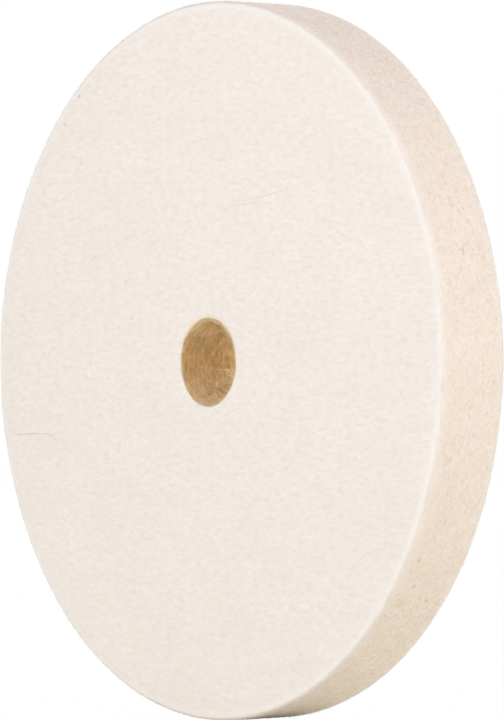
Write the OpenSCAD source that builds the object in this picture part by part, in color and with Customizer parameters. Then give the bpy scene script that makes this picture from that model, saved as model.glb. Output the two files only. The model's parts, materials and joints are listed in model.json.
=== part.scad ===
// Felt polishing wheel: one flat disc of pressed wool felt with a plain arbor bore.
// All sizes are in millimetres. The origin is the middle of the wheel, on its
// spin axis and halfway between its two faces. +Y runs along the spin axis and
// +Z is up, so the wheel stands upright on its rim.

/* [Wheel] */
// Outside diameter of the wheel
wheel_d = 101.6; // [50:0.1:250]
// Width of the wheel from face to face
wheel_w = 11.1; // [4:0.1:40]
// Radius of the corner between each face and the rim
rim_edge_r = 0.5; // [0.1:0.1:1.5]

/* [Arbor bore] */
// Diameter of the bore that slides onto the arbor
bore_d = 12.7; // [4:0.1:32]
// Radius of the corner at each mouth of the bore
bore_edge_r = 0.3; // [0.1:0.1:1]

/* [Hidden] */

// Every circle and every turned surface is drawn with this many steps
$fn = 128;

// Radii that the section of the wheel is drawn between
wheel_r = wheel_d / 2;
bore_r = bore_d / 2;
// Half of the width, from the middle of the wheel to a face
half_w = wheel_w / 2;
// Radius halfway through the ring of felt, where its two edge bands meet
middle_r = (wheel_r + bore_r) / 2;

felt_color = "#f1e8df";

// One edge of the section, from the middle radius out to edge_at: a straight
// wall across the width, with a corner of radius corner_r where it meets each
// face. edge_at is a radius, on either side of middle_r.
module edge_band(edge_at, corner_r) {
    inward = edge_at > middle_r ? -1 : 1;
    corner_at = edge_at + inward * corner_r;
    // The flat of each face, up to where its corner starts
    translate([min(corner_at, middle_r), -half_w])
        square([abs(middle_r - corner_at), wheel_w]);
    // The straight wall, between its two corners
    translate([min(edge_at, middle_r), corner_r - half_w])
        square([abs(middle_r - edge_at), wheel_w - 2 * corner_r]);
    // The two corners
    for (side = [-1, 1])
        translate([corner_at, side * (half_w - corner_r)])
            circle(r = corner_r);
}

// Half of the wheel's cross section, on the positive side of the spin axis
module half_section() {
    edge_band(wheel_r, rim_edge_r);
    edge_band(bore_r, bore_edge_r);
}

// The disc of felt, turned about the spin axis and stood upright on its rim
module felt_wheel() {
    color(felt_color)
        rotate([90, 0, 0])
            rotate_extrude()
                half_section();
}

felt_wheel();
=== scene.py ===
"""The finished look of a felt polishing wheel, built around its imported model.

Run as a script, it makes the wheel's felt body, its loose fibres and a plain studio. It is laid out as an
add-on: the sizes and colours are properties, each group of like pieces has an operator, and one panel lists
them. Everything is in metres, in the wheel's own frame: the origin is the middle of the wheel, +Y is the
spin axis, the front face looks towards -Y, and +Z is up.
"""

import json
import math
import random

import bmesh
import bpy
from bpy.props import FloatProperty, FloatVectorProperty, IntProperty, PointerProperty
from mathutils import Matrix, Vector, noise


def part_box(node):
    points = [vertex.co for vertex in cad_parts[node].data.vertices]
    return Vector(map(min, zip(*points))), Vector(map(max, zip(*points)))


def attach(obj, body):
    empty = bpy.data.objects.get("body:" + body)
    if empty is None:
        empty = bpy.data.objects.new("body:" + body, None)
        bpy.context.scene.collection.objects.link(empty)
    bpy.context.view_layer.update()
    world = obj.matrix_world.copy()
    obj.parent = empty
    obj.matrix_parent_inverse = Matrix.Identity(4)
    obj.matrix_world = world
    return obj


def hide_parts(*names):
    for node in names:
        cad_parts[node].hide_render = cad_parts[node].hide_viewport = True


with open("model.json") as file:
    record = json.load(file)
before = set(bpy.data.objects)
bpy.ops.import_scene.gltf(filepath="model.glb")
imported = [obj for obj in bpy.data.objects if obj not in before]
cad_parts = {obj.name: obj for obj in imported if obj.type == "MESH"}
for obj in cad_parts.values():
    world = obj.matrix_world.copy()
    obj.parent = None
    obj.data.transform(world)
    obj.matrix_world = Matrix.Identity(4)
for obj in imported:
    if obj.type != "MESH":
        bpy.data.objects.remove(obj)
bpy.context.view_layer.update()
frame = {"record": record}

bl_info = {
    "name": "Felt polishing wheel",
    "version": (1, 0, 0),
    "blender": (4, 5, 0),
    "location": "View3D > Sidebar > Felt Wheel",
    "description": "Makes a pressed wool felt polishing wheel with its loose fibres, and a plain studio",
    "category": "Object",
}

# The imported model's box, before anything is added to it
NODE = "felt_wheel"
BODY = "root"

MM = 0.001
WHEEL_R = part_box(NODE)[1].x
HALF_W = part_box(NODE)[1].y
FLOOR_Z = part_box(NODE)[0].z
BORE_MOUNT = next(m for m in frame["record"]["mounts"] if m["kind"] == "bore")
BORE_R = BORE_MOUNT["dims"]["r_mm"] * MM
# The bore's straight wall is shorter than the wheel is wide by its two rounded mouths
BORE_EDGE_R = HALF_W - BORE_MOUNT["dims"]["length_mm"] * MM / 2


# ---------------------------------------------------------------------------
# Properties
# ---------------------------------------------------------------------------

class FeltShape(bpy.types.PropertyGroup):
    """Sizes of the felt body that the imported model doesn't set."""

    rim_edge_r: FloatProperty(
        name="Rim corner", description="Radius of the corner between a face and the rim",
        default=0.5 * MM, min=0.1 * MM, max=1.5 * MM, unit="LENGTH")
    steps: IntProperty(
        name="Steps", description="How many steps the body is spun in", default=448, min=64, max=512)
    ring_gap: FloatProperty(
        name="Ring gap", description="Distance between the rings of points on a face",
        default=0.72 * MM, min=0.3 * MM, max=5 * MM, unit="LENGTH")
    relief: FloatProperty(
        name="Relief", description="Height of the felt's uneven surface, top to bottom",
        default=0.09 * MM, min=0, max=0.5 * MM, unit="LENGTH")
    edge_roll: FloatProperty(
        name="Edge roll", description="How far each face sinks by the time it reaches the rim",
        default=0.14 * MM, min=0, max=1.0 * MM, unit="LENGTH")
    roll_band: FloatProperty(
        name="Roll band", description="Width of the band along the rim where a face sinks",
        default=2.2 * MM, min=0.5 * MM, max=10 * MM, unit="LENGTH")
    mouth_wear: FloatProperty(
        name="Mouth wear", description="How far the mouths of the bore are worn to one side",
        default=0.28 * MM, min=0, max=1.0 * MM, unit="LENGTH")
    mouth_wear_angle: FloatProperty(
        name="Mouth wear angle", description="Direction of the worn side, from +X towards +Z",
        default=math.radians(238), subtype="ANGLE", unit="ROTATION")
    mouth_close: FloatProperty(
        name="Mouth close", description="How far the felt springs in at the mouths of the bore",
        default=0.13 * MM, min=0, max=0.5 * MM, unit="LENGTH")


class FeltFibres(bpy.types.PropertyGroup):
    """How many loose fibres there are, and how thick they are."""

    face: IntProperty(
        name="Face fibres", description="Fibres that lie on each face", default=5200, min=0, max=5400)
    rim: IntProperty(
        name="Rim fibres", description="Fibres that lie on the cut rim", default=3600, min=0, max=5400)
    nap: IntProperty(
        name="Rim nap", description="Short fibre ends that stand out of the rim",
        default=4200, min=0, max=6800)
    edge: IntProperty(
        name="Corner fuzz", description="Short fibres on each corner of the rim",
        default=1300, min=0, max=3000)
    bore: IntProperty(
        name="Bore fuzz", description="Fibres that line the bore", default=5200, min=0, max=6800)
    mouth: IntProperty(
        name="Mouth fuzz", description="Fibres that reach over each mouth of the bore",
        default=1900, min=0, max=2000)
    thickness: FloatProperty(
        name="Fibre thickness", description="Diameter of one wool fibre", default=0.03 * MM,
        min=0.01 * MM, max=0.1 * MM, unit="LENGTH")
    kemp_thickness: FloatProperty(
        name="Kemp thickness", description="Diameter of one coarse tan hair", default=0.06 * MM,
        min=0.02 * MM, max=0.2 * MM, unit="LENGTH")


class FeltColours(bpy.types.PropertyGroup):
    """The colours of the felt, as linear values."""

    face: FloatVectorProperty(
        name="Face", description="Pressed skin of the two faces", subtype="COLOR", size=3,
        default=(0.832, 0.771, 0.732), min=0, max=1)
    rim: FloatVectorProperty(
        name="Rim", description="Cut felt of the rim", subtype="COLOR", size=3,
        default=(0.857, 0.755, 0.684), min=0, max=1)
    # The bore's tan is painted shade: it stands in for the shade and warm bounce light inside the hollow
    bore: FloatVectorProperty(
        name="Bore", description="Felt inside the bore", subtype="COLOR", size=3,
        default=(0.90, 0.625, 0.34), min=0, max=1)
    # Painted highlight: a pale colour laid beside the corners of the rim, where their fibres catch the light
    corner_highlight: FloatVectorProperty(
        name="Bloom", description="Whitened fibres beside the corners of the rim", subtype="COLOR", size=3,
        default=(0.865, 0.825, 0.80), min=0, max=1)
    kemp: FloatVectorProperty(
        name="Kemp", description="Coarse tan hairs in the wool", subtype="COLOR", size=3,
        default=(0.61, 0.46, 0.31), min=0, max=1)
    tuft: FloatVectorProperty(
        name="Tuft", description="Small tan tufts in the wool", subtype="COLOR", size=3,
        default=(0.70, 0.59, 0.45), min=0, max=1)
    lip: FloatVectorProperty(
        name="Lip", description="Fibres over the lips of the bore", subtype="COLOR", size=3,
        default=(0.80, 0.64, 0.44), min=0, max=1)
    gold: FloatVectorProperty(
        name="Gold", description="Golden hairs at the mouths of the bore", subtype="COLOR", size=3,
        default=(0.91, 0.80, 0.60), min=0, max=1)


class FeltStudio(bpy.types.PropertyGroup):
    """The camera and the lights."""

    azimuth: FloatProperty(
        name="Azimuth", description="Direction of the camera round the wheel, from the front face",
        default=math.radians(51.45), subtype="ANGLE", unit="ROTATION")
    distance: FloatProperty(
        name="Distance", description="From the camera to the middle of the front face",
        default=0.700, min=0.1, unit="LENGTH")
    lens: FloatProperty(
        name="Lens", description="Focal length in millimetres", default=247.5, min=20)
    aside: FloatProperty(
        name="Aside", description="How far the camera stands to the right of the front face's middle",
        default=0.0062, unit="LENGTH")
    surround_colour: FloatVectorProperty(
        name="Surround colour", description="Colour of the light from all round", subtype="COLOR", size=3,
        default=(1.0, 0.957, 0.865), min=0, max=1)
    box_colour: FloatVectorProperty(
        name="Box colour", description="Colour of the boxes' light", subtype="COLOR", size=3,
        default=(0.89, 0.92, 1.0), min=0, max=1)
    surround: FloatProperty(
        name="Surround", description="Brightness of the light from all round", default=0.60, min=0)
    key: FloatProperty(
        name="Key light", description="Power of the main light, beside the camera, in watts",
        default=4.0, min=0)
    front: FloatProperty(
        name="Front light", description="Power of the light before the front face in watts",
        default=3.9, min=0)
    side: FloatProperty(
        name="Side light", description="Power of the light beside the rim in watts", default=2.7, min=0)
    glow: FloatProperty(
        name="Glow", description="Power of the cool light close before the top of the face in watts",
        default=0.042, min=0)
    back: FloatProperty(
        name="Back light", description="Power of the light behind the wheel on the right in watts",
        default=2.7, min=0)
    rear: FloatProperty(
        name="Rear light", description="Power of the light behind the wheel on the left in watts",
        default=7.0, min=0)


class FeltWheelSettings(bpy.types.PropertyGroup):
    """All that a user can change on the wheel and its studio."""

    shape: PointerProperty(type=FeltShape, name="Shape", description="Sizes of the felt body")
    fibres: PointerProperty(type=FeltFibres, name="Fibres", description="Loose fibres")
    colours: PointerProperty(type=FeltColours, name="Colours", description="Colours of the felt")
    studio: PointerProperty(type=FeltStudio, name="Studio", description="Camera and lights")


def settings():
    """The wheel's settings on the scene."""
    return bpy.context.scene.felt_wheel


# ---------------------------------------------------------------------------
# Shader helpers
# ---------------------------------------------------------------------------

def put(tree, kind, inputs=None, **options):
    """Adds a node, sets its options, and gives each listed input a value or a link."""
    made = tree.nodes.new(kind)
    for name, value in options.items():
        setattr(made, name, value)
    for name, value in (inputs or {}).items():
        if isinstance(value, bpy.types.NodeSocket):
            tree.links.new(value, made.inputs[name])
        else:
            made.inputs[name].default_value = value
    return made


def maths(tree, operation, a, b=0.0):
    """The result of one sum on two numbers."""
    return put(tree, "ShaderNodeMath", {0: a, 1: b}, operation=operation).outputs[0]


def vectors(tree, operation, a, b):
    """The result of one sum on two vectors."""
    return put(tree, "ShaderNodeVectorMath", {0: a, 1: b}, operation=operation).outputs[0]


def scaled(tree, vector, factor):
    """A vector times a number."""
    return put(tree, "ShaderNodeVectorMath", {0: vector, "Scale": factor}, operation="SCALE").outputs[0]


def spread(tree, value, low, high, to_low=0.0, to_high=1.0):
    """value carried smoothly from the range low..high to the range to_low..to_high, and held there."""
    inputs = {0: value, 1: low, 2: high, 3: to_low, 4: to_high}
    return put(tree, "ShaderNodeMapRange", inputs, interpolation_type="SMOOTHSTEP", clamp=True).outputs[0]


def faded(tree, mask, share):
    """A mask at a share of its strength."""
    return maths(tree, "MULTIPLY", mask, share)


def mixed(tree, share, a, b, blend="MIX"):
    """Colour a with colour b laid over it."""
    node = put(tree, "ShaderNodeMix", {0: share, 6: a, 7: b}, data_type="RGBA", blend_type=blend)
    return node.outputs[2]


def noise_value(tree, vector, scale, detail=1.0, roughness=0.5):
    """Smooth noise from 0 to 1. scale is in repeats to a metre, or to a unit of the vector."""
    inputs = {"Vector": vector, "Scale": scale, "Detail": detail, "Roughness": roughness}
    return put(tree, "ShaderNodeTexNoise", inputs, noise_dimensions="3D").outputs[0]


def new_group(name, inputs, outputs):
    """An empty shader node group, with its input and output sockets. inputs are (name, kind, default)."""
    tree = bpy.data.node_groups.new(name, "ShaderNodeTree")
    for label, kind, default in inputs:
        socket = tree.interface.new_socket(label, in_out="INPUT", socket_type="NodeSocket" + kind)
        socket.default_value = default
    for label in outputs:
        tree.interface.new_socket(label, in_out="OUTPUT", socket_type="NodeSocketFloat")
    return tree, tree.nodes.new("NodeGroupInput").outputs, tree.nodes.new("NodeGroupOutput").inputs


def use_group(tree, name, **inputs):
    """Places a node group and returns its outputs. Underscores in an input's name stand for spaces."""
    named = {label.replace("_", " "): value for label, value in inputs.items()}
    return put(tree, "ShaderNodeGroup", named, node_tree=bpy.data.node_groups[name]).outputs


# ---------------------------------------------------------------------------
# Node groups that the felt's materials share
# ---------------------------------------------------------------------------

# The slow warp that bends the fibre streaks, in repeats to a metre
WARP_SCALE = 420.0
# The directions in which the streaks lie, in degrees
STREAK_ANGLES = (-7, 16, -33, 41, 83)
# How much finer than a streak a smudge is along it and across it
SMUDGE_STRETCH = (1.6, 0.45, 1.0)
# The unevenness of a band's edge, in repeats to a metre
RAGGED_SCALE = 900.0


def group_wheel_places():
    """Where a point lies on the wheel: how far out, and how far round. Round is measured along the rim
    twice, once with its join on the left and once with it on the right, and Side says which is clear."""
    outputs = ["Out", "Across", "Round", "Round Again", "Side"]
    tree, given, out = new_group("Wheel places", [("Vector", "Vector", (0, 0, 0))], outputs)
    xyz = put(tree, "ShaderNodeSeparateXYZ", {0: given["Vector"]}).outputs
    squares = maths(tree, "ADD", maths(tree, "POWER", xyz[0], 2.0), maths(tree, "POWER", xyz[2], 2.0))
    tree.links.new(maths(tree, "SQRT", squares), out["Out"])
    tree.links.new(xyz[1], out["Across"])
    angle = maths(tree, "ARCTAN2", xyz[2], xyz[0])
    tree.links.new(maths(tree, "MULTIPLY", angle, WHEEL_R), out["Round"])
    turned = maths(tree, "ARCTAN2", xyz[2], maths(tree, "MULTIPLY", xyz[0], -1.0))
    tree.links.new(maths(tree, "MULTIPLY", turned, -WHEEL_R), out["Round Again"])
    overlap = 0.2 * WHEEL_R
    tree.links.new(spread(tree, xyz[0], -overlap, overlap), out["Side"])


def group_wool_mottle():
    """Soft uneven patches, as wool that took the press and the wash unevenly: small patches, large clouds,
    and a drift of hue from one fleece to another."""
    tree, given, out = new_group(
        "Wool mottle", [("Vector", "Vector", (0, 0, 0)), ("Patch Size", "Float", 3 * MM)],
        ["Patches", "Clouds", "Drift"])
    scale = maths(tree, "DIVIDE", 1.0, given["Patch Size"])
    patches = noise_value(tree, given["Vector"], scale, detail=3.0, roughness=0.6)
    tree.links.new(spread(tree, patches, 0.34, 0.66), out["Patches"])
    clouds = noise_value(tree, given["Vector"], maths(tree, "MULTIPLY", scale, 0.23), detail=2.0)
    tree.links.new(spread(tree, clouds, 0.32, 0.68), out["Clouds"])
    # Taken elsewhere in the noise, so that the hue doesn't follow the patches
    aside = vectors(tree, "ADD", given["Vector"], (0.4, 0.7, 0.2))
    drift = noise_value(tree, aside, maths(tree, "MULTIPLY", scale, 0.6), detail=2.0)
    tree.links.new(spread(tree, drift, 0.36, 0.64), out["Drift"])


def group_fibre_grain():
    """Tangled fibre streaks, most of them lying along one direction. Layers of stretched noise at
    different angles are folded into thin ridges, after a slow warp has bent them. Smudges are the
    blurred locks beneath them."""
    tree, given, out = new_group(
        "Fibre grain",
        [("Along", "Float", 0.0), ("Across", "Float", 0.0), ("Length", "Float", 2.5 * MM),
         ("Width", "Float", 0.2 * MM), ("Waviness", "Float", 0.35 * MM), ("Spread", "Float", 1.0)],
        ["Streaks", "Smudges", "Height"])
    flat = put(tree, "ShaderNodeCombineXYZ", {0: given["Along"], 1: given["Across"], 2: 0.0}).outputs[0]
    drift = put(tree, "ShaderNodeTexNoise", {"Vector": flat, "Scale": WARP_SCALE, "Detail": 1.0})
    centred = vectors(tree, "SUBTRACT", drift.outputs["Color"], (0.5, 0.5, 0.5))
    bent = vectors(tree, "ADD", flat, scaled(tree, centred, given["Waviness"]))
    per_length = maths(tree, "DIVIDE", 1.0, given["Length"])
    per_width = maths(tree, "DIVIDE", 1.0, given["Width"])
    scale = put(tree, "ShaderNodeCombineXYZ", {0: per_length, 1: per_width, 2: 1.0}).outputs[0]
    total = None
    for layer, degrees in enumerate(STREAK_ANGLES):
        turn = maths(tree, "MULTIPLY", given["Spread"], math.radians(degrees))
        turned = put(tree, "ShaderNodeVectorRotate", {"Vector": bent, "Angle": turn}, rotation_type="Z_AXIS")
        stretched = vectors(tree, "MULTIPLY", turned.outputs[0], scale)
        moved = vectors(tree, "ADD", stretched, (3.7 * layer, 9.1 * layer, 5.3 * layer))
        value = noise_value(tree, moved, 1.0, detail=1.0)
        fold = maths(tree, "ABSOLUTE", maths(tree, "SUBTRACT", value, 0.5))
        ridge = spread(tree, fold, 0.0, 0.09, 1.0, 0.0)
        total = maths(tree, "MAXIMUM", total, faded(tree, ridge, 0.9)) if total is not None else ridge
    tree.links.new(total, out["Streaks"])
    coarse = vectors(tree, "MULTIPLY", vectors(tree, "MULTIPLY", bent, scale), SMUDGE_STRETCH)
    smudges = noise_value(tree, coarse, 1.0, detail=3.0, roughness=0.6)
    tree.links.new(spread(tree, smudges, 0.30, 0.70), out["Smudges"])
    lumps = noise_value(tree, bent, 1.0 / (0.5 * MM), detail=2.0)
    height = maths(tree, "ADD", faded(tree, total, 0.6), faded(tree, lumps, 0.8))
    tree.links.new(height, out["Height"])


def group_kemp_flecks():
    """Sparse little marks, where a coarse hair or a burr shows in the felt."""
    tree, given, out = new_group(
        "Kemp flecks",
        [("Vector", "Vector", (0, 0, 0)), ("Spacing", "Float", 2 * MM), ("Size", "Float", 0.1),
         ("Share", "Float", 0.2)],
        ["Flecks"])
    scale = maths(tree, "DIVIDE", 1.0, given["Spacing"])
    finer = maths(tree, "MULTIPLY", scale, 3.0)
    warp = put(tree, "ShaderNodeTexNoise", {"Vector": given["Vector"], "Scale": finer}).outputs["Color"]
    moved = vectors(tree, "ADD", given["Vector"], scaled(tree, warp, 0.25 * MM))
    cells = put(tree, "ShaderNodeTexVoronoi", {"Vector": moved, "Scale": scale}, feature="F1")
    near = spread(tree, cells.outputs["Distance"], 0.0, given["Size"], 1.0, 0.0)
    lot = put(tree, "ShaderNodeSeparateColor", {0: cells.outputs["Color"]}).outputs[0]
    picked = maths(tree, "LESS_THAN", lot, given["Share"])
    tree.links.new(maths(tree, "MULTIPLY", near, picked), out["Flecks"])


def group_corner_band():
    """A mask that is whole on a corner of the wheel and fades away from it, with a ragged edge."""
    tree, given, out = new_group(
        "Corner bloom",
        [("Vector", "Vector", (0, 0, 0)), ("Corner Radius", "Float", WHEEL_R), ("Band", "Float", 0.8 * MM),
         ("Raggedness", "Float", 0.5 * MM)],
        ["Bloom"])
    places = use_group(tree, "Wheel places", Vector=given["Vector"])
    out_gap = maths(tree, "SUBTRACT", places["Out"], given["Corner Radius"])
    side_gap = maths(tree, "SUBTRACT", maths(tree, "ABSOLUTE", places["Across"]), HALF_W)
    square = maths(tree, "ADD", maths(tree, "POWER", maths(tree, "ABSOLUTE", out_gap), 2.0),
                   maths(tree, "POWER", maths(tree, "ABSOLUTE", side_gap), 2.0))
    ragged = maths(tree, "SUBTRACT", noise_value(tree, given["Vector"], RAGGED_SCALE, detail=3.0), 0.5)
    uneven = maths(tree, "MULTIPLY", ragged, given["Raggedness"])
    gap = maths(tree, "ADD", maths(tree, "SQRT", square), uneven)
    tree.links.new(spread(tree, gap, 0.0, given["Band"], 1.0, 0.0), out["Bloom"])


def make_node_groups():
    """Builds each shared group once."""
    group_wheel_places()
    group_wool_mottle()
    group_fibre_grain()
    group_kemp_flecks()
    group_corner_band()


# ---------------------------------------------------------------------------
# Materials
# ---------------------------------------------------------------------------

def rgba(colour):
    """A colour property with its alpha."""
    return (*colour, 1.0)


def tinted(colour, red, green, blue):
    """A colour with each channel multiplied."""
    return (colour[0] * red, colour[1] * green, colour[2] * blue, 1.0)


def new_material(name, roughness=0.95, sheen=0.0, specular=0.2):
    """A material with one Principled shader, and that shader's node."""
    material = bpy.data.materials.new(name)
    material.use_nodes = True
    shader = material.node_tree.nodes["Principled BSDF"]
    shader.inputs["Roughness"].default_value = roughness
    shader.inputs["Specular IOR Level"].default_value = specular
    shader.inputs["Sheen Weight"].default_value = sheen
    shader.inputs["Sheen Roughness"].default_value = 0.5
    return material, shader


def felt_material(name, **looks):
    """A material for felt: the material, its node tree, its shader, and the place on the object."""
    material, shader = new_material(name, **looks)
    tree = material.node_tree
    return material, tree, shader, put(tree, "ShaderNodeTexCoord").outputs["Object"]


def layered(tree, colour, base, layers):
    """A colour with tints of a base laid over it in turn. A layer is (mask, share of the mask, tint)."""
    for mask, share, tint in layers:
        colour = mixed(tree, faded(tree, mask, share), colour, tinted(base, *tint))
    return colour


def finish_surface(tree, shader, colour, height, strength, depth):
    """Links a colour and a bump height to the shader."""
    tree.links.new(colour, shader.inputs["Base Color"])
    bump = put(tree, "ShaderNodeBump", {"Strength": strength, "Distance": depth, "Height": height})
    tree.links.new(bump.outputs[0], shader.inputs["Normal"])


def material_face():
    """Pressed skin of the faces: off-white, softly mottled, with fine streaks lying across the wheel."""
    colours = settings().colours
    material, tree, shader, vector = felt_material("pressed felt face", sheen=0.12)
    xyz = put(tree, "ShaderNodeSeparateXYZ", {0: vector}).outputs
    # The locks lie across the wheel, so the patches are drawn out that way
    drawn = vectors(tree, "MULTIPLY", vector, (0.42, 1, 1))
    mottle = use_group(tree, "Wool mottle", Vector=drawn, Patch_Size=1.4 * MM)
    grain = use_group(tree, "Fibre grain", Along=xyz[0], Across=xyz[2], Length=2.2 * MM, Width=0.27 * MM)
    face = colours.face
    pile = spread(tree, noise_value(tree, drawn, 1.0 / (0.7 * MM), detail=1.0), 0.48, 0.72)
    cream = tinted(face, 1.01, 1.0, 0.94)
    rosy = tinted(face, 1.0, 0.985, 1.035)
    colour = layered(tree, mixed(tree, mottle["Drift"], cream, rosy), face, (
        (mottle["Patches"], 0.8, (1.08, 1.08, 1.08)),
        (mottle["Clouds"], 0.5, (0.955, 0.955, 0.945)),
        (grain["Smudges"], 0.8, (0.905, 0.905, 0.895)),
        (grain["Streaks"], 0.45, (1.07, 1.07, 1.07)),
        (pile, 0.5, (0.91, 0.91, 0.90)),
    ))
    flecks = use_group(tree, "Kemp flecks", Vector=vector, Spacing=2.6 * MM, Size=0.09, Share=0.12)
    colour = mixed(tree, faded(tree, flecks["Flecks"], 0.2), colour, rgba(colours.tuft))
    # Painted highlight: the face is paler in a band along the rim, where the corner's fibres catch the light
    corner_highlight = use_group(tree, "Corner bloom", Vector=vector, Corner_Radius=WHEEL_R - 0.65 * MM,
                      Band=0.9 * MM)["Bloom"]
    colour = mixed(tree, faded(tree, corner_highlight, 0.7), colour, rgba(colours.corner_highlight))
    # Painted shade: the felt is darker in a narrow band on the rounded corner, which faces the lights
    corner_shade = use_group(tree, "Corner bloom", Vector=vector, Band=0.5 * MM, Raggedness=0.3 * MM)["Bloom"]
    colour = mixed(tree, faded(tree, corner_shade, 0.9), colour, tinted(face, 0.80, 0.78, 0.75))
    lip = use_group(tree, "Corner bloom", Vector=vector, Corner_Radius=BORE_R, Band=0.4 * MM)["Bloom"]
    colour = mixed(tree, faded(tree, lip, 0.6), colour, rgba(colours.lip))
    finish_surface(tree, shader, colour, grain["Height"], strength=0.25, depth=0.05 * MM)
    return material


def material_rim():
    """Cut felt of the rim: beige, speckled with fibre ends, with short streaks lying round the wheel."""
    colours = settings().colours
    material, tree, shader, vector = felt_material("cut felt rim", sheen=0.3)
    places = use_group(tree, "Wheel places", Vector=vector)
    mottle = use_group(tree, "Wool mottle", Vector=vector, Patch_Size=1.8 * MM)
    charts = []
    for chart in ("Round Again", "Round"):
        charts.append(use_group(tree, "Fibre grain", Along=places[chart], Across=places["Across"],
                                Length=1.1 * MM, Width=0.34 * MM, Waviness=0.7 * MM))
    streak, smudge, height = [
        put(tree, "ShaderNodeMix", {0: places["Side"], 2: charts[0][name], 3: charts[1][name]}).outputs[0]
        for name in ("Streaks", "Smudges", "Height")]
    rim = colours.rim
    olive = tinted(rim, 1.01, 1.0, 0.90)
    rosy = tinted(rim, 1.03, 0.965, 1.02)
    speck = noise_value(tree, vector, 1.0 / (0.5 * MM), detail=3.0, roughness=0.65)
    # Painted light and shade: stronger dark and pale specks over the top and bottom, where light grazes the
    # rim
    up = maths(tree, "ABSOLUTE", put(tree, "ShaderNodeSeparateXYZ", {0: vector}).outputs[2])
    grazing_light_and_shade = spread(tree, up, 0.45 * WHEEL_R, 0.85 * WHEEL_R)
    colour = layered(tree, mixed(tree, mottle["Drift"], olive, rosy), rim, (
        (mottle["Patches"], 0.6, (1.06, 1.065, 1.08)),
        (mottle["Clouds"], 0.5, (0.95, 0.94, 0.90)),
        (smudge, 0.6, (0.91, 0.895, 0.87)),
        (streak, 0.35, (1.05, 1.055, 1.07)),
        (spread(tree, speck, 0.53, 0.72), 0.6, (0.83, 0.79, 0.71)),
        (spread(tree, speck, 0.44, 0.28), 0.6, (1.09, 1.11, 1.15)),
        (maths(tree, "MULTIPLY", grazing_light_and_shade, spread(tree, speck, 0.50, 0.68)), 0.5, (0.80, 0.70, 0.60)),
        (maths(tree, "MULTIPLY", grazing_light_and_shade, spread(tree, speck, 0.46, 0.32)), 0.45, (1.12, 1.12, 1.14)),
    ))
    flecks = use_group(tree, "Kemp flecks", Vector=vector, Spacing=1.7 * MM, Size=0.20, Share=0.10)
    colour = mixed(tree, faded(tree, flecks["Flecks"], 0.4), colour, rgba(colours.tuft))
    # Painted highlight: the rim is paler and bluer near its corners, where the fibres catch light at a slant
    corner = use_group(tree, "Corner bloom", Vector=vector, Band=2.2 * MM, Raggedness=1.0 * MM)["Bloom"]
    # Painted shade: darker in a narrow band on the rounded corner, which faces the lights
    corner_shade = use_group(tree, "Corner bloom", Vector=vector, Band=0.55 * MM, Raggedness=0.3 * MM)["Bloom"]
    colour = layered(tree, colour, rim, ((corner, 0.6, (1.02, 1.06, 1.10)), (corner_shade, 0.9, (0.78, 0.76, 0.74))))
    finish_surface(tree, shader, colour, height, strength=0.75, depth=0.085 * MM)
    return material


def paint_bore_light_and_shade(tree, vector, colour):
    """A bore colour with painted shade at the sides and front, and painted light over, under and at the
    back.
    """
    xyz = put(tree, "ShaderNodeSeparateXYZ", {0: vector}).outputs
    over = spread(tree, xyz[2], 0.1 * BORE_R, 0.85 * BORE_R)
    under = spread(tree, xyz[2], -0.1 * BORE_R, -0.9 * BORE_R)
    behind = spread(tree, xyz[1], 0.1 * HALF_W, HALF_W)
    # Painted shade towards the front mouth, painted light towards the back, over and under
    painted_light = mixed(tree, behind, (0.88, 0.82, 0.74, 1), (1.05, 1.01, 0.95, 1))
    painted_light = mixed(tree, over, painted_light, (1.15, 1.19, 1.30, 1))
    painted_light = mixed(tree, under, painted_light, (0.97, 0.99, 1.06, 1))
    return mixed(tree, 1.0, colour, painted_light, "MULTIPLY")


def material_bore():
    """Felt inside the bore: tan, as painted shade of the hollow, with a coarse napped grain."""
    colours = settings().colours
    material, tree, shader, vector = felt_material("drilled felt bore", sheen=0.1)
    bore = colours.bore
    mottle = use_group(tree, "Wool mottle", Vector=vector, Patch_Size=1.6 * MM)
    colour = mixed(tree, mottle["Patches"], tinted(bore, 0.86, 0.86, 0.83), tinted(bore, 1.08, 1.08, 1.12))
    colour = mixed(tree, faded(tree, mottle["Drift"], 0.6), colour, tinted(bore, 1.04, 0.98, 0.86))
    # The nap lies round the bore, so its noise is drawn out that way
    drawn = vectors(tree, "MULTIPLY", vector, (0.4, 1, 0.4))
    nap = noise_value(tree, drawn, 1.0 / (0.4 * MM), detail=3.0, roughness=0.6)
    colour = mixed(tree, spread(tree, nap, 0.50, 0.70), colour, tinted(bore, 0.62, 0.57, 0.49))
    colour = mixed(tree, spread(tree, nap, 0.46, 0.28), colour, tinted(bore, 1.25, 1.35, 1.6))
    colour = paint_bore_light_and_shade(tree, vector, colour)
    lip = use_group(tree, "Corner bloom", Vector=vector, Corner_Radius=BORE_R, Band=0.3 * MM)["Bloom"]
    colour = mixed(tree, faded(tree, lip, 0.4), colour, rgba(colours.lip))
    finish_surface(tree, shader, colour, nap, strength=0.8, depth=0.12 * MM)
    return material


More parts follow.
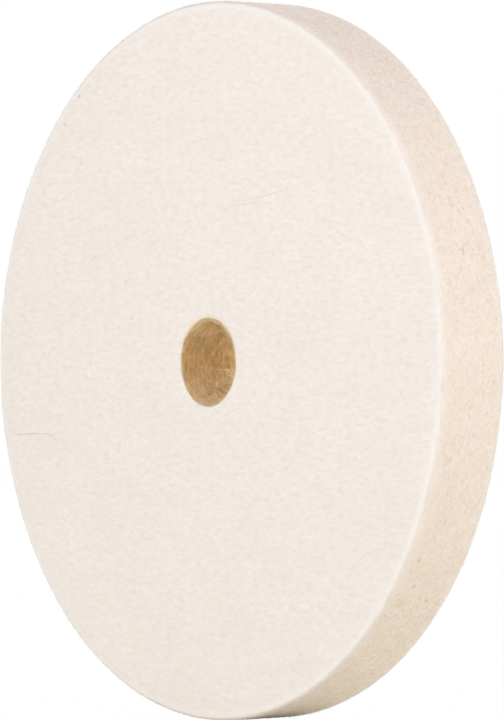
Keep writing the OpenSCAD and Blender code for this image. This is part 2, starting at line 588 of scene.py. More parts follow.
def material_fibres(name, colour, contrast, painted_light=None):
    """Loose wool: fibres from different fleeces, each with a shade of its own, and a slow drift besides.
    The pale end of the range is greyer than the dark one. The last argument, if given, is a function that
    paints light and shade into the colour by its place."""
    material, tree, shader, vector = felt_material(name, roughness=0.7, sheen=0.2, specular=0.3)
    own = put(tree, "ShaderNodeAttribute", attribute_name="shade", attribute_type="GEOMETRY").outputs["Fac"]
    drift = spread(tree, noise_value(tree, vector, 1.0 / (0.9 * MM), detail=2.0, roughness=0.7), 0.36, 0.64)
    fleece = maths(tree, "ADD", faded(tree, own, 0.65), faded(tree, drift, 0.35))
    low, high = [
        tinted(colour, 1 + sign * contrast, 1 + sign * 1.15 * contrast, 1 + sign * 1.5 * contrast)
        for sign in (-1, 1)]
    high = tuple(min(0.95, channel) for channel in high)
    shade = mixed(tree, fleece, low, high)
    # Painted light and shade by place, as on the bore's wool
    if painted_light:
        shade = painted_light(tree, vector, shade)
    tree.links.new(shade, shader.inputs["Base Color"])
    return material


# ---------------------------------------------------------------------------
# Mesh helpers
# ---------------------------------------------------------------------------

def relief_at(point):
    """How far the uneven surface stands from the true one at a point, from about -1 to 1."""
    slow = noise.noise(point * (1 / (9 * MM)))
    lumps = noise.noise(point * (1 / (2.6 * MM)) + Vector((17, 3, 8)))
    grain = noise.noise(point * (1 / (1.2 * MM)) + Vector((5, 41, 23)))
    return 0.9 * slow + 0.7 * lumps + 0.5 * grain


def relief_offset(point):
    """The same in metres. It sinks more than it rises, because the press and the cut set the size."""
    height = settings().shape.relief / 2
    return height * (relief_at(point) - 0.35)


def edge_roll(point):
    """How far the felt has sunk where a face meets the rim, as the cutting die drags it over."""
    shape = settings().shape
    inward = (WHEEL_R - math.hypot(point.x, point.z)) / shape.roll_band
    below = (HALF_W - abs(point.y)) / MM
    if inward >= 1 or below >= 1:
        return Vector((0, 0, 0))
    sink = shape.edge_roll * (1 - max(0.0, inward)) ** 2 * (1 - max(0.0, below))
    return Vector((0, -math.copysign(sink, point.y), 0))


def mouth_shift(point):
    """How far the felt at a mouth of the bore has been pushed aside. It fades out within the bore's first
    third and a little way over the face, and is nothing further off."""
    depth = (HALF_W - abs(point.y)) / (3.5 * MM)
    spare = (math.hypot(point.x, point.z) - BORE_R) / (2.0 * MM)
    near = max(0.0, 1 - max(0.0, depth)) * max(0.0, 1 - max(0.0, spare))
    if near == 0:
        return Vector((0, 0, 0))
    shape = settings().shape
    side = Vector((math.cos(shape.mouth_wear_angle), 0, math.sin(shape.mouth_wear_angle)))
    inward = -Vector((point.x, 0, point.z)).normalized()
    return (side * shape.mouth_wear + inward * shape.mouth_close) * (near * near * (3 - 2 * near))


def add_piece(name, mesh, materials):
    """Makes an object of a mesh, and gives it its body."""
    piece = bpy.data.objects.new(name, mesh)
    bpy.context.scene.collection.objects.link(piece)
    for material in materials:
        mesh.materials.append(material)
    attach(piece, BODY)
    return piece


# Where a tube's wall lies in its square of the map: the left and the bottom edge, and the size each way
WALL_CELL = (0.16, 0.06, 0.78, 0.88)
# The corners of one end's triangles there, in the strip that the wall leaves free
CAP_CELL = ((0.03, 0.10), (0.12, 0.10), (0.03, 0.30))
CAP_FACES = 4
# Points closer than this are one, on a fibre and on the body
FIBRE_MERGE = 2e-8
BODY_MERGE = 1e-7


def lay_out_map(mesh, count):
    """Gives each tube of a converted curve its own square of the piece's map, and its own shade. The ends
    of all the tubes come first in the mesh, and then their walls, and each wall's own map already runs
    from 0 to 1 both ways."""
    layer = mesh.uv_layers[0]
    layer.name = "OFBake"
    per_row = math.ceil(math.sqrt(count))
    ends = CAP_FACES * count
    walls = (len(mesh.polygons) - ends) // count
    left, bottom, wide, high = WALL_CELL
    places = [0.0] * (2 * len(mesh.loops))
    layer.uv.foreach_get("vector", places)
    rng = random.Random(count)
    own = [rng.random() for _ in range(count)]
    shades = []
    for face in mesh.polygons:
        tube = face.index // CAP_FACES if face.index < ends else (face.index - ends) // walls
        shades.append(own[tube])
        row, column = divmod(tube, per_row)
        for corner, loop in enumerate(face.loop_indices):
            if face.index < ends:
                u, v = CAP_CELL[corner]
            else:
                u = left + wide * places[2 * loop]
                v = bottom + high * places[2 * loop + 1]
            places[2 * loop] = (column + u) / per_row
            places[2 * loop + 1] = (row + v) / per_row
    layer.uv.foreach_set("vector", places)
    mesh.attributes.new("shade", "FLOAT", "FACE").data.foreach_set("value", shades)


def fibre_mesh(name, strands):
    """One mesh of thin closed tubes. Each strand is (points, thickness, tip): tip is how thick its two
    ends are beside its middle. All the strands of a mesh have as many points."""
    curve = bpy.data.curves.new(name, "CURVE")
    curve.dimensions = "3D"
    curve.bevel_mode = "ROUND"
    # One millimetre across, so that a point's radius is its thickness in millimetres
    curve.bevel_depth = MM / 2
    curve.bevel_resolution = 0
    curve.use_fill_caps = True
    for points, thickness, tip in strands:
        spline = curve.splines.new("POLY")
        spline.points.add(len(points) - 1)
        flat = []
        widths = []
        last = len(points) - 1
        for index, point in enumerate(points):
            flat += (*point, 1.0)
            middle = math.sin(math.pi * index / last)
            widths.append(thickness / MM * (tip + (1 - tip) * middle))
        spline.points.foreach_set("co", flat)
        spline.points.foreach_set("radius", widths)
    holder = bpy.data.objects.new(name, curve)
    mesh = bpy.data.meshes.new_from_object(holder)
    bpy.data.objects.remove(holder)
    bpy.data.curves.remove(curve)
    mesh.materials.clear()
    mesh.name = name
    lay_out_map(mesh, len(strands))
    bm = bmesh.new()
    bm.from_mesh(mesh)
    # The ends come apart from the walls, so they are joined
    bmesh.ops.remove_doubles(bm, verts=list(bm.verts), dist=FIBRE_MERGE)
    bmesh.ops.recalc_face_normals(bm, faces=list(bm.faces))
    bm.to_mesh(mesh)
    bm.free()
    mesh.shade_smooth()
    return mesh


def add_fibres(name, strands, material):
    """Makes a piece of those strands that were made and that stay above what the wheel stands on."""
    lowest = FLOOR_Z + settings().fibres.thickness
    kept = [strand for strand in strands if strand and min(point.z for point in strand[0]) > lowest]
    add_piece(name, fibre_mesh(name, kept), [material])


# Points along a stray hair or a fibre of a tuft
BOWED_STEPS = 9


def bowed(start, end, bow, waves=1):
    """Places along a line from start to end, bowed aside in that many half waves."""
    along = Vector(end) - Vector(start)
    aside = Vector((-along.y, along.x)).normalized()
    places = []
    for index in range(BOWED_STEPS):
        share = index / (BOWED_STEPS - 1)
        swing = bow * math.sin(math.pi * waves * share)
        places.append(Vector(start) + along * share + aside * swing)
    return places


def curled(length, lean, shares, firm, give):
    """Places along a fibre, as (ahead, aside), at those shares of its length. firm is the share of its lean
    that it has at its root, and give is what it adds on the way to its tip."""
    return [(length * share * math.cos(lean * (firm + give * share)),
             length * share * math.sin(lean * (firm + give * share))) for share in shares]


def wool_length(rng, usual, most):
    """The length of a fibre, in metres, from its usual and its greatest length in millimetres."""
    return min(rng.lognormvariate(math.log(usual), 0.5), most) * MM


def wool_lie(rng, stray, share):
    """The direction in which a fibre lies. A share of them stray only that many degrees from the first
    axis, and the others lie anyhow."""
    return rng.gauss(0, math.radians(stray)) if rng.random() < share else rng.uniform(0, math.pi)


# Points along a fibre that lies on the felt
ARC_STEPS = 5


def arc_steps(length, bend):
    """Places along a flat arc of that length, as (along, aside), with its middle at the origin."""
    steps = []
    heading = -bend / 2
    along = aside = 0.0
    for index in range(ARC_STEPS):
        steps.append((along, aside))
        heading_here = heading + bend * (index + 0.5) / (ARC_STEPS - 1)
        along += length / (ARC_STEPS - 1) * math.cos(heading_here)
        aside += length / (ARC_STEPS - 1) * math.sin(heading_here)
    middle = (sum(s[0] for s in steps) / ARC_STEPS, sum(s[1] for s in steps) / ARC_STEPS)
    return [(s[0] - middle[0], s[1] - middle[1]) for s in steps]


def laid(length, bend, lie, lift, thickness):
    """Places along a fibre that lies on the felt, as (along, aside, height), with both ends sunk in it."""
    places = []
    for index, (along, aside) in enumerate(arc_steps(length, bend)):
        sink = math.sin(math.pi * index / (ARC_STEPS - 1))
        places.append((
            along * math.cos(lie) - aside * math.sin(lie), along * math.sin(lie) + aside * math.cos(lie),
            lift * sink - 0.6 * thickness * (1 - sink)))
    return places


def on_face(x, z, side, height):
    """A point over a face. side is -1 at the front and 1 at the back."""
    base = Vector((x, side * HALF_W, z))
    shift = mouth_shift(base) + edge_roll(base)
    return base + shift + Vector((0, side, 0)) * (relief_offset(base) + height)


def on_rim(round_by, across, height, radius=None):
    """A point over the rim, or over the bore wall if radius is the bore's. round_by is in radians."""
    radius = radius or WHEEL_R
    outward = Vector((math.cos(round_by), 0, math.sin(round_by)))
    base = outward * radius + Vector((0, across, 0))
    shift = mouth_shift(base) + edge_roll(base)
    return base + shift + outward * (relief_offset(base) + height)


# ---------------------------------------------------------------------------
# Operators
# ---------------------------------------------------------------------------

class FELTWHEEL_OT_body(bpy.types.Operator):
    """Makes the disc of felt: its section spun round the axis, with a low uneven relief"""

    bl_idname = "felt_wheel.body"
    bl_label = "Felt body"

    # How squarely a patch must face along the axis to have the skin of the faces: by the rim, by the bore
    RIM_SPLIT = math.cos(math.radians(32))
    BORE_SPLIT = math.sin(math.radians(20))
    # Edges along each rounded corner of the section
    CORNER_SEGMENTS = 5

    def section(self, bm, shape):
        """The outline of the section: a rectangle with its four corners rounded, in short edges."""
        corners = [(BORE_R, -HALF_W), (WHEEL_R, -HALF_W), (WHEEL_R, HALF_W), (BORE_R, HALF_W)]
        verts = [bm.verts.new((x, y, 0)) for x, y in corners]
        bm.faces.new(verts)
        for picked, radius in ((verts[1:3], shape.rim_edge_r), ((verts[0], verts[3]), BORE_EDGE_R)):
            bmesh.ops.bevel(bm, geom=list(picked), affect="VERTICES", offset=radius, offset_type="OFFSET",
                            segments=self.CORNER_SEGMENTS, profile=0.5, material=-1)
        bmesh.ops.delete(bm, geom=list(bm.faces), context="FACES_ONLY")
        for edge in list(bm.edges):
            cuts = round(edge.calc_length() / shape.ring_gap) - 1
            if cuts > 0:
                bmesh.ops.subdivide_edges(bm, edges=[edge], cuts=cuts)

    def execute(self, context):
        shape = settings().shape
        bm = bmesh.new()
        self.section(bm, shape)
        outline = list(bm.verts) + list(bm.edges)
        bmesh.ops.spin(bm, geom=outline, cent=(0, 0, 0), axis=(0, 1, 0), dvec=(0, 0, 0), angle=2 * math.pi,
                       steps=shape.steps, use_merge=True, use_duplicate=False)
        bmesh.ops.remove_doubles(bm, verts=list(bm.verts), dist=BODY_MERGE)
        bmesh.ops.recalc_face_normals(bm, faces=list(bm.faces))
        bm.normal_update()
        moves = [vert.normal * relief_offset(vert.co) + mouth_shift(vert.co) + edge_roll(vert.co)
                 for vert in bm.verts]
        for face in bm.faces:
            centre = face.calc_center_median()
            outside = math.hypot(centre.x, centre.z) > 2 * BORE_R
            flatness = abs(face.normal.y)
            if outside:
                face.material_index = 1 if flatness < self.RIM_SPLIT else 0
            else:
                face.material_index = 2 if flatness < self.BORE_SPLIT else 0
            face.smooth = True
        for vert, move in zip(bm.verts, moves):
            vert.co += move
        mesh = bpy.data.meshes.new("felt_body")
        bm.to_mesh(mesh)
        bm.free()
        body = add_piece("felt_body", mesh, [material_face(), material_rim(), material_bore()])
        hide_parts(NODE)
        return {"FINISHED"}


class FELTWHEEL_OT_face_fibres(bpy.types.Operator):
    """Makes the fibres that lie on the two faces, half sunk in the felt"""

    bl_idname = "felt_wheel.face_fibres"
    bl_label = "Face fibres"

    def strand(self, rng, side, thickness):
        """One fibre: an arc on the face, mostly across the wheel, with both ends sunk in the felt."""
        out = math.sqrt(rng.uniform((BORE_R * 1.1) ** 2, (WHEEL_R - 1.2 * MM) ** 2))
        where = rng.uniform(0, 2 * math.pi)
        length = wool_length(rng, 2.0, 5.0)
        lie = wool_lie(rng, 18, 0.75)
        lift = rng.uniform(-0.1, 0.5) * thickness
        x = out * math.cos(where)
        z = out * math.sin(where)
        points = []
        for along, aside, height in laid(length, rng.gauss(0, 0.6), lie, lift, thickness):
            points.append(on_face(x + along, z + aside, side, height))
        reach = [math.hypot(p.x, p.z) for p in points]
        if min(reach) < BORE_R + BORE_EDGE_R or max(reach) > WHEEL_R - 0.3 * MM:
            return None
        return points, thickness * rng.uniform(0.7, 1.3), 0.5

    def execute(self, context):
        fibres = settings().fibres
        material = material_fibres("loose face wool", settings().colours.face, 0.03)
        for name, side, seed in (("front_face_fibres", -1, 11), ("back_face_fibres", 1, 12)):
            rng = random.Random(seed)
            strands = [self.strand(rng, side, fibres.thickness) for _ in range(fibres.face)]
            add_fibres(name, strands, material)
        return {"FINISHED"}


class FELTWHEEL_OT_rim_fibres(bpy.types.Operator):
    """Makes the fibres that lie round the rim, and the short cut ends that stand out of it"""

    bl_idname = "felt_wheel.rim_fibres"
    bl_label = "Rim fibres"

    def lying(self, rng, thickness):
        """One fibre along the rim, sunk at both ends."""
        where = rng.uniform(0, 2 * math.pi)
        across = rng.uniform(-1, 1) * (HALF_W - 0.6 * MM)
        length = wool_length(rng, 1.0, 3.0)
        lie = wool_lie(rng, 28, 0.7)
        lift = rng.uniform(0.3, 1.8) * thickness
        points = []
        for along, aside, height in laid(length, rng.gauss(0, 0.9), lie, lift, thickness):
            points.append(on_rim(where + along / WHEEL_R, across + aside, height))
        if max(abs(p.y) for p in points) > HALF_W - 0.3 * MM:
            return None
        return points, thickness * rng.uniform(0.7, 1.3), 0.5

    def standing(self, rng, thickness):
        """One cut end, rooted in the rim and leaning over."""
        where = rng.uniform(0, 2 * math.pi)
        across = rng.uniform(-1, 1) * (HALF_W - 0.3 * MM)
        length = rng.uniform(0.12, 0.42) * MM
        heading = rng.uniform(0, 2 * math.pi)
        lean = rng.uniform(0.5, 1.35)
        points = []
        for height, sideways in curled(length, lean, (-0.15, 0.4, 0.75, 1.0), 0.6, 0.4):
            turn = where + sideways * math.cos(heading) / WHEEL_R
            points.append(on_rim(turn, across + sideways * math.sin(heading), height))
        return points, thickness * rng.uniform(0.6, 1.1), 0.35

    def execute(self, context):
        fibres = settings().fibres
        colours = settings().colours
        material = material_fibres("loose rim wool", colours.rim, 0.12)
        rng = random.Random(21)
        add_fibres("rim_fibres", [self.lying(rng, fibres.thickness) for _ in range(fibres.rim)], material)
        add_fibres("rim_nap", [self.standing(rng, fibres.thickness) for _ in range(fibres.nap)], material)
        return {"FINISHED"}


class FELTWHEEL_OT_corner_fuzz(bpy.types.Operator):
    """Makes the short fibres that stand off the corners between the faces and the rim"""

    bl_idname = "felt_wheel.corner_fuzz"
    bl_label = "Corner fuzz"

    def strand(self, rng, side, thickness, corner_r):
        """One fibre, rooted somewhere on the rounded corner and curling along it."""
        where = rng.uniform(0, 2 * math.pi)
        tilt = rng.uniform(0, math.pi / 2)
        length = rng.uniform(0.15, 0.6) * MM
        heading = rng.choice((-1, 1)) * rng.uniform(0.5, 1.3)
        points = []
        for stand, drift in curled(length, heading, (-0.12, 0.35, 0.7, 1.0), 0.75, 0.25):
            turn = where + drift / WHEEL_R
            outward = Vector((math.cos(turn), 0, math.sin(turn)))
            middle = outward * (WHEEL_R - corner_r) + Vector((0, side * (HALF_W - corner_r), 0))
            normal = outward * math.cos(tilt) + Vector((0, side * math.sin(tilt), 0))
            base = middle + normal * corner_r
            points.append(base + edge_roll(base) + normal * (relief_offset(base) + 0.55 * stand))
        return points, thickness * rng.uniform(0.55, 1.0), 0.35

    def execute(self, context):
        fibres = settings().fibres
        # Painted shade: the corner fuzz takes a darker rim colour, so the rounded corners catch less light
        corner_shaded_rim = tinted(settings().colours.rim, 0.84, 0.82, 0.80)[:3]
        material = material_fibres("corner wool", corner_shaded_rim, 0.06)
        for name, side, seed in (("front_corner_fuzz", -1, 31), ("back_corner_fuzz", 1, 32)):
            rng = random.Random(seed)
            corner_r = settings().shape.rim_edge_r
            strands = [self.strand(rng, side, fibres.thickness, corner_r) for _ in range(fibres.edge)]
            add_fibres(name, strands, material)
        return {"FINISHED"}


class FELTWHEEL_OT_bore_fuzz(bpy.types.Operator):
    """Makes the nap that lines the bore, and the fibres that reach over its two mouths"""

    bl_idname = "felt_wheel.bore_fuzz"
    bl_label = "Bore fuzz"

    def lining(self, rng, thickness):
        """One fibre, rooted in the bore wall and curling over towards a mouth or round the bore."""
        where = rng.uniform(0, 2 * math.pi)
        across = rng.uniform(-1, 1) * (HALF_W - 0.1 * MM)
        length = rng.uniform(0.3, 1.3) * MM
        heading = rng.gauss(0, math.radians(35)) + rng.choice((0, 0, 0.5, 1, 1, 1.5)) * math.pi
        lean = rng.uniform(1.0, 1.5)
        lock = 2.6 if rng.random() < 0.3 else 1.2
        points = []
        for height, sideways in curled(length, lean, (-0.1, 0.35, 0.7, 1.0), 0.7, 0.3):
            turn = where + sideways * math.cos(heading) / BORE_R
            points.append(on_rim(turn, across + sideways * math.sin(heading), -0.7 * height, BORE_R))
        return points, thickness * lock * rng.uniform(0.7, 1.2), 0.4

    def at_mouth(self, rng, side, thickness):
        """One fibre, rooted in the lip of a mouth and reaching over the opening."""
        where = rng.uniform(0, 2 * math.pi)
        root = rng.uniform(0, 0.25) * MM
        length = wool_length(rng, 0.34, 0.9)
        heading = rng.gauss(0, math.radians(40))
        lean = rng.gauss(0, math.radians(25))
        points = []
        for inward, aside in curled(length, heading, (-0.15, 0.35, 0.7, 1.0), 0.5, 0.5):
            across = side * (HALF_W - 0.5 * BORE_EDGE_R - inward * math.tan(lean) * 0.5)
            across = max(-HALF_W - 0.05 * MM, min(HALF_W + 0.05 * MM, across))
            points.append(on_rim(where + aside / BORE_R, across, root - inward, BORE_R))
        return points, thickness * rng.uniform(0.6, 1.2), 0.35

    def execute(self, context):
        fibres = settings().fibres
        colours = settings().colours
        # The bore's wool takes the bore's tan painted shade, and its painted light and shade by place
        material = material_fibres("bore wool", colours.bore, 0.36, paint_bore_light_and_shade)
        rng = random.Random(41)
        add_fibres("bore_fuzz", [self.lining(rng, fibres.thickness) for _ in range(fibres.bore)], material)
        material = material_fibres("mouth wool", colours.lip, 0.12)
        for name, side, seed in (("front_mouth_fuzz", -1, 42), ("back_mouth_fuzz", 1, 43)):
            rng = random.Random(seed)
            strands = [self.at_mouth(rng, side, fibres.thickness) for _ in range(fibres.mouth)]
            add_fibres(name, strands, material)
        return {"FINISHED"}


class FELTWHEEL_OT_stray_hairs(bpy.types.Operator):
    """Makes the few coarse hairs and tan tufts that show in the felt, and the golden hairs over the bore"""

    bl_idname = "felt_wheel.stray_hairs"
    bl_label = "Stray hairs"

    # Long hairs of the front face: start and end as shares of the wheel's radius, bow in mm, half waves,
    # and thickness as a share of a kemp's
    FRONT_HAIRS = (
        ((-0.923, -0.217), (-0.750, -0.212), 0.06, 1, 1.6),
        ((-0.755, -0.211), (-0.718, -0.229), 0.05, 1, 0.8),
        ((0.103, 0.425), (0.212, 0.434), 0.12, 1, 0.55),
        ((0.129, 0.440), (0.362, 0.472), -0.26, 1, 0.50),
        ((-0.332, -0.087), (-0.276, -0.084), 0.10, 1, 0.55),
        ((-0.304, -0.079), (-0.234, -0.069), 0.12, 1, 0.50),
    )
    # Tufts of the front face: place as shares of the radius, and size in mm
    FRONT_TUFTS = (
        (-0.60, 0.76, 0.35), (-0.67, 0.68, 0.25), (-0.59, 0.57, 0.30),
        (-0.52, 0.29, 0.28), (-0.38, 0.22, 0.30), (-0.35, 0.12, 0.25),
    )
    # Marks on the rim: angle in degrees from +X towards +Z, place across as a share of the width, and the
    # length round the rim and the size in mm
    RIM_MARKS = (
        (24, 0.17, 0.0, 0.20), (17, -0.03, 1.4, 0.22), (14, -0.10, 0.0, 0.35), (-32, -0.29, 0.7, 0.30),
        (-37, -0.17, 0.5, 0.22), (-40, 0.15, 0.3, 0.22), (-43, -0.38, 0.0, 0.25), (65, -0.25, 0.6, 0.25),
    )
    # Golden hairs over the front mouth of the bore: start and end as shares of the radius, and bow in mm
    MOUTH_HAIRS = (
        ((0.124, -0.023), (0.034, -0.024), 0.06), ((0.124, -0.039), (0.076, -0.029), -0.15),
        ((0.121, -0.043), (0.088, -0.039), 0.10), ((0.112, -0.059), (0.086, -0.062), -0.06),
    )

    # How deep in the lip those hairs are rooted
    MOUTH_ROOT = 0.25 * MM
    # Fibres in one tuft
    TUFT_FIBRES = 10
    # Hairs and tufts strewn over the back face, and marks over the rest of the rim
    BACK_HAIRS = 9
    BACK_TUFTS = 12
    MORE_RIM_MARKS = 16

    def tuft(self, rng, place, size, thickness):
        """Short curled fibres lying in a loose heap. place turns two lengths and a height into a point."""
        strands = []
        for _ in range(self.TUFT_FIBRES):
            start = Vector((rng.gauss(0, size / 2), rng.gauss(0, size / 2)))
            heading = rng.uniform(0, 2 * math.pi)
            end = start + Vector((math.cos(heading), math.sin(heading))) * rng.uniform(0.8, 1.8) * size
            steps = bowed(start, end, rng.uniform(-0.25, 0.25) * size)
            lift = rng.uniform(0.0, 0.8) * thickness
            points = [place(step.x, step.y, lift) for step in steps]
            strands.append((points, thickness * rng.uniform(0.6, 1.1), 0.4))
        return strands

    def face_hairs(self, rng, thickness):
        """The long hairs of the front face, and others, strewn at random, on the back one."""
        strands = []
        for start, end, bow, waves, share in self.FRONT_HAIRS:
            steps = bowed(Vector(start) * WHEEL_R, Vector(end) * WHEEL_R, bow * MM, waves)
            points = [on_face(step.x, step.y, -1, 0.3 * thickness * share) for step in steps]
            strands.append((points, thickness * share, 0.4))
        for _ in range(self.BACK_HAIRS):
            out = math.sqrt(rng.uniform(0.05, 0.8)) * WHEEL_R
            turn = rng.uniform(0, 2 * math.pi)
            place = Vector((math.cos(turn), math.sin(turn))) * out
            lie = rng.gauss(0, 0.4)
            reach = Vector((math.cos(lie), math.sin(lie))) * rng.uniform(2, 5) * MM
            bow = rng.uniform(-0.4, 0.4) * MM
            steps = bowed(place - reach / 2, place + reach / 2, bow, rng.choice((1, 2)))
            share = rng.uniform(0.4, 1.1)
            points = [on_face(step.x, step.y, 1, 0.3 * thickness * share) for step in steps]
            strands.append((points, thickness * share, 0.4))
        return strands

    def face_tufts(self, rng, thickness):
        """The tufts of the front face, and others strewn over the back one."""
        spots = [(Vector((x, z)) * WHEEL_R, -1, size * MM) for x, z, size in self.FRONT_TUFTS]
        for _ in range(self.BACK_TUFTS):
            out = math.sqrt(rng.uniform(0.05, 0.85)) * WHEEL_R
            turn = rng.uniform(0, 2 * math.pi)
            spots.append((Vector((math.cos(turn), math.sin(turn))) * out, 1, rng.uniform(0.2, 0.35) * MM))
        strands = []
        for spot, side, size in spots:
            def place(along, aside, height):
                return on_face(spot.x + along, spot.y + aside, side, height)
            strands += self.tuft(rng, place, size, thickness)
        return strands

    def rim_marks(self, rng, thickness):
        """The tufts of the rim and the hairs in some of them, and others strewn over the rest of it."""
        marks = list(self.RIM_MARKS)
        ranges = ((90, 265), (-0.4, 0.4), (0, 1.2), (0.2, 0.35))
        for _ in range(self.MORE_RIM_MARKS):
            marks.append(tuple(rng.uniform(low, high) for low, high in ranges))
        tufts = []
        hairs = []
        for degrees, across, length, size in marks:
            turn = math.radians(degrees)
            side = 2 * HALF_W * across

            def place(along, aside, height):
                return on_rim(turn + along / WHEEL_R, side + aside, height)
            tufts += self.tuft(rng, place, size * MM, thickness)
            if length > 0:
                steps = bowed((-length * MM / 2, 0), (length * MM / 2, 0.3 * length * MM), 0.1 * MM)
                points = [on_rim(turn + step.x / WHEEL_R, side + step.y, 0.3 * thickness) for step in steps]
                hairs.append((points, 2.2 * thickness, 0.4))
        return tufts, hairs

    def mouth_strands(self, thickness):
        """The golden hairs over the front mouth, a little proud of the face at their tips."""
        strands = []
        for start, end, bow in self.MOUTH_HAIRS:
            steps = bowed(Vector(start) * WHEEL_R, Vector(end) * WHEEL_R, bow * MM)
            last = len(steps) - 1
            points = []
            for index, step in enumerate(steps):
                depth = self.MOUTH_ROOT * (1 - index / last)
                points.append(Vector((step.x, depth - HALF_W, step.y)))
            strands.append((points, thickness, 0.4))
        return strands

    def execute(self, context):
        fibres = settings().fibres
        colours = settings().colours
        rng = random.Random(51)
        kemp = material_fibres("tan kemp", colours.kemp, 0.2)
        tan = material_fibres("tan tuft", colours.tuft, 0.15)
        rim_tufts, rim_hairs = self.rim_marks(rng, fibres.thickness)
        golden = material_fibres("golden hair", colours.gold, 0.1)
        groups = (
            ("face_kemps", self.face_hairs(rng, fibres.kemp_thickness), kemp),
            ("face_tufts", self.face_tufts(rng, 1.5 * fibres.thickness), tan),
            ("rim_kemps", rim_hairs, kemp),
            ("rim_tufts", rim_tufts, tan),
            ("mouth_hairs", self.mouth_strands(1.2 * fibres.kemp_thickness), golden),
        )
        for name, strands, material in groups:
            add_fibres(name, strands, material)
        return {"FINISHED"}


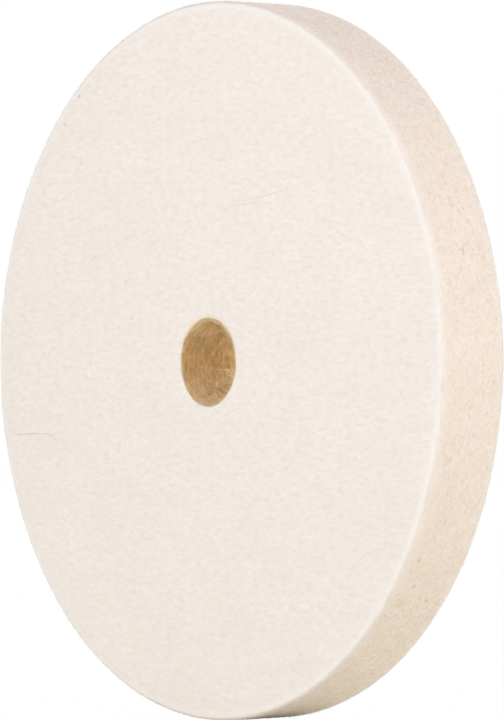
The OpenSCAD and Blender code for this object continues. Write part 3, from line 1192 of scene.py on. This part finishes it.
class FELTWHEEL_OT_stage(bpy.types.Operator):
    """Makes the floor, the lights, the surround and the camera"""

    bl_idname = "felt_wheel.stage"
    bl_label = "Stage"

    FLOOR_R = 4.0
    # How much of the floor's own shade the camera doesn't see
    FLOOR_WHITENED = 0.992
    # Softboxes: name, direction round the wheel and upwards in degrees, distance and size in metres
    BOXES = (
        ("key", 50, 4, 1.2, 0.8), ("front", 10, 12, 1.0, 0.6), ("side", 100, 8, 1.0, 0.6),
        ("glow", 14, 21, 0.225, 0.06), ("back", 145, 12, 1.2, 0.8), ("rear", 232, 18, 1.2, 0.8),
    )
    GLOW_COLOUR = (0.7, 0.74, 1.0)
    # How far the camera stands above the wheel's middle
    CAMERA_RISE = 0.1 * MM

    def floor(self):
        """A wide pale disc that the wheel stands on, nearly white to the camera."""
        bm = bmesh.new()
        bmesh.ops.create_circle(bm, cap_ends=True, segments=96, radius=self.FLOOR_R,
                                matrix=Matrix.Translation((0, 0, FLOOR_Z)))
        mesh = bpy.data.meshes.new("floor")
        bm.to_mesh(mesh)
        bm.free()
        material, shader = new_material("pale floor", roughness=0.9)
        shader.inputs["Base Color"].default_value = (0.90, 0.88, 0.75, 1)
        tree = material.node_tree
        output = tree.nodes["Material Output"]
        glow = put(tree, "ShaderNodeEmission", {"Color": (1, 1, 1, 1), "Strength": 1.0})
        seen = put(tree, "ShaderNodeLightPath").outputs["Is Camera Ray"]
        share = maths(tree, "MULTIPLY", seen, self.FLOOR_WHITENED)
        blend = put(tree, "ShaderNodeMixShader", {0: share, 1: shader.outputs[0], 2: glow.outputs[0]})
        tree.links.new(blend.outputs[0], output.inputs["Surface"])
        mesh.materials.append(material)
        floor = bpy.data.objects.new("floor", mesh)
        bpy.context.scene.collection.objects.link(floor)

    def surround(self, colour, strength):
        """White to the camera, and to the wheel an even soft light that a dark flag cuts on the left."""
        world = bpy.data.worlds.new("surround")
        world.use_nodes = True
        bpy.context.scene.world = world
        tree = world.node_tree
        tree.nodes.clear()
        way = put(tree, "ShaderNodeTexCoord").outputs["Generated"]
        leftward = put(tree, "ShaderNodeVectorMath", {0: way, 1: (-1, 0, 0)}, operation="DOT_PRODUCT")
        flagged = spread(tree, leftward.outputs["Value"], 0.2, 0.8, strength, 0.2 * strength)
        light = put(tree, "ShaderNodeBackground", {"Color": rgba(colour), "Strength": flagged})
        plain = put(tree, "ShaderNodeBackground", {"Color": (1, 1, 1, 1), "Strength": 1.0})
        seen = put(tree, "ShaderNodeLightPath").outputs["Is Camera Ray"]
        blend = put(tree, "ShaderNodeMixShader", {0: seen, 1: light.outputs[0], 2: plain.outputs[0]})
        put(tree, "ShaderNodeOutputWorld", {"Surface": blend.outputs[0]})

    def softbox(self, name, azimuth, elevation, distance, size, power, colour):
        """A square light that looks at the wheel. Azimuth 0 is before the front face, and 90 is at +X."""
        data = bpy.data.lights.new(name, "AREA")
        data.shape = "SQUARE"
        data.size = size
        data.energy = power
        data.color = colour
        back = Vector((math.sin(azimuth) * math.cos(elevation), -math.cos(azimuth) * math.cos(elevation),
                       math.sin(elevation)))
        light = bpy.data.objects.new(name, data)
        light.location = back * distance
        light.rotation_mode = "QUATERNION"
        light.rotation_quaternion = (-back).to_track_quat("-Z", "Y")
        light.visible_camera = False
        bpy.context.scene.collection.objects.link(light)

    def camera(self, studio):
        """Level with the middle of the wheel, looking past its front face to the right."""
        data = bpy.data.cameras.new("camera")
        data.lens = studio.lens
        data.sensor_width = 36
        data.clip_start = 0.01
        data.clip_end = 50
        right = Vector((math.cos(studio.azimuth), math.sin(studio.azimuth), 0))
        back = Vector((math.sin(studio.azimuth), -math.cos(studio.azimuth), 0))
        camera = bpy.data.objects.new("camera", data)
        middle = Vector((0, -HALF_W, self.CAMERA_RISE))
        camera.location = middle + right * studio.aside + back * studio.distance
        camera.rotation_mode = "QUATERNION"
        camera.rotation_quaternion = (-back).to_track_quat("-Z", "Y")
        bpy.context.scene.collection.objects.link(camera)
        bpy.context.scene.camera = camera

    def execute(self, context):
        studio = settings().studio
        self.floor()
        self.surround(studio.surround_colour, studio.surround)
        for name, azimuth, elevation, distance, size in self.BOXES:
            colour = self.GLOW_COLOUR if name == "glow" else studio.box_colour
            self.softbox(name + "_light", math.radians(azimuth), math.radians(elevation), distance, size,
                         getattr(studio, name), colour)
        self.camera(studio)
        context.scene.view_settings.view_transform = "Standard"
        return {"FINISHED"}


class FELTWHEEL_PT_panel(bpy.types.Panel):
    """The wheel's pieces and settings, in the 3D view's sidebar"""

    bl_idname = "FELTWHEEL_PT_panel"
    bl_label = "Felt Wheel"
    bl_space_type = "VIEW_3D"
    bl_region_type = "UI"
    bl_category = "Felt Wheel"

    def draw(self, context):
        layout = self.layout
        groups = context.scene.felt_wheel
        for group in (groups.shape, groups.fibres, groups.colours, groups.studio):
            box = layout.box()
            for name in group.__annotations__:
                box.prop(group, name)
        for operator in OPERATORS:
            layout.operator(operator.bl_idname)


OPERATORS = (FELTWHEEL_OT_body, FELTWHEEL_OT_face_fibres, FELTWHEEL_OT_rim_fibres, FELTWHEEL_OT_corner_fuzz,
             FELTWHEEL_OT_bore_fuzz, FELTWHEEL_OT_stray_hairs, FELTWHEEL_OT_stage)
SETTINGS = (FeltShape, FeltFibres, FeltColours, FeltStudio, FeltWheelSettings)
CLASSES = (*SETTINGS, *OPERATORS, FELTWHEEL_PT_panel)


def register():
    """Adds the classes, and the settings to the scene."""
    for cls in CLASSES:
        bpy.utils.register_class(cls)
    bpy.types.Scene.felt_wheel = PointerProperty(type=FeltWheelSettings)


def unregister():
    """Takes the settings and the classes away again."""
    del bpy.types.Scene.felt_wheel
    for cls in reversed(CLASSES):
        bpy.utils.unregister_class(cls)


def main():
    """Makes the whole scene."""
    register()
    make_node_groups()
    bpy.ops.felt_wheel.stage()
    bpy.ops.felt_wheel.body()
    bpy.ops.felt_wheel.face_fibres()
    bpy.ops.felt_wheel.rim_fibres()
    bpy.ops.felt_wheel.corner_fuzz()
    bpy.ops.felt_wheel.bore_fuzz()
    bpy.ops.felt_wheel.stray_hairs()


if __name__ == "__main__":
    main()
